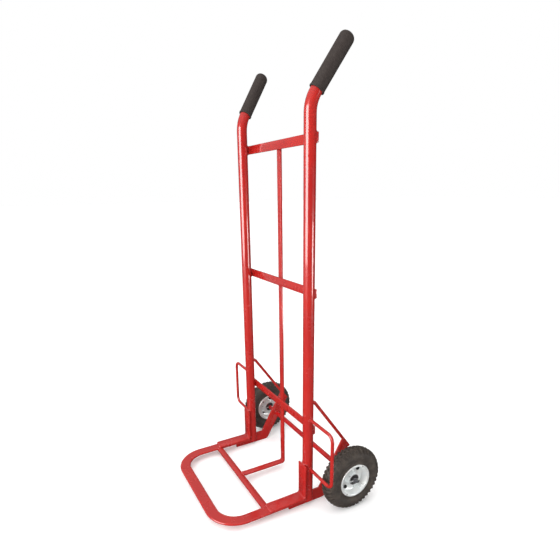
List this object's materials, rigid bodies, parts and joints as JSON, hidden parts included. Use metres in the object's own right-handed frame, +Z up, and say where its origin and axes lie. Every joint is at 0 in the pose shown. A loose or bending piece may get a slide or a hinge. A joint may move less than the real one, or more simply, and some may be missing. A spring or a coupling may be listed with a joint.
{
  "type": "hand truck",
  "caption": "Welded tube hand truck with an open flat toe frame, leaned-back grips, wheel guards and pneumatic wheels on a fixed axle.",
  "frame": {"origin": "on the ground under the middle of the truck's bounding box", "axes": "+X to the truck's left as its user holds the grips, -Y towards the toe, +Z up"},
  "size_m": [0.66, 0.514, 1.298],
  "materials": {
    "frame_paint": "gloss red paint",
    "grip_rubber": "matt brownish black",
    "tyre_rubber": "matt, knobbed tread",
    "tube_rubber": "smooth black",
    "zinc_rim": "bright zinc plate",
    "zinc_hardware": "zinc plate",
    "bearing_steel": "ground steel",
    "seal_rubber": "smooth black",
    "black_bolt": "black oxide",
    "washer_nylon": "satin black",
    "valve_rubber": "matt black"
  },
  "bodies": {
    "frame": {"upright_left": "frame_paint", "upright_right": "frame_paint", "grip_left": "grip_rubber", "grip_right": "grip_rubber", "toe_strap_left": "frame_paint", "toe_strap_right": "frame_paint", "wheel_bracket_left": "frame_paint", "wheel_bracket_right": "frame_paint", "stay_left": "frame_paint", "stay_right": "frame_paint", "wheel_guard_left": "frame_paint", "wheel_guard_right": "frame_paint", "crossbar_top": "frame_paint", "crossbar_middle": "frame_paint", "crossbar_lower": "frame_paint", "centre_bar": "frame_paint", "toe_frame": "frame_paint", "toe_crossbar": "frame_paint", "axle": "frame_paint", "axle_washers": "washer_nylon", "split_pins": "zinc_hardware", "bearing_inner_rings": "bearing_steel"},
    "wheel_left_body": {"tyre_left": "tyre_rubber", "inner_tube_left": "tube_rubber", "rim_outer_left": "zinc_rim", "rim_inner_left": "zinc_rim", "rim_bolts_left": "black_bolt", "rim_nuts_left": "zinc_hardware", "hub_left": "zinc_rim", "bearing_outer_rings_left": "bearing_steel", "bearing_balls_left": "bearing_steel", "bearing_seals_left": "seal_rubber", "valve_left": "valve_rubber"},
    "wheel_right_body": {"tyre_right": "tyre_rubber", "inner_tube_right": "tube_rubber", "rim_outer_right": "zinc_rim", "rim_inner_right": "zinc_rim", "rim_bolts_right": "black_bolt", "rim_nuts_right": "zinc_hardware", "hub_right": "zinc_rim", "bearing_outer_rings_right": "bearing_steel", "bearing_balls_right": "bearing_steel", "bearing_seals_right": "seal_rubber", "valve_right": "valve_rubber"}
  },
  "joints": [
    {"name": "wheel_left_spin", "type": "hinge", "parent": "frame", "child": "wheel_left_body", "pos_m": [0.275, 0.157, 0.1], "axis": [1, 0, 0], "continuous": true},
    {"name": "wheel_right_spin", "type": "hinge", "parent": "frame", "child": "wheel_right_body", "pos_m": [-0.275, 0.157, 0.1], "axis": [1, 0, 0], "continuous": true}
  ]
}
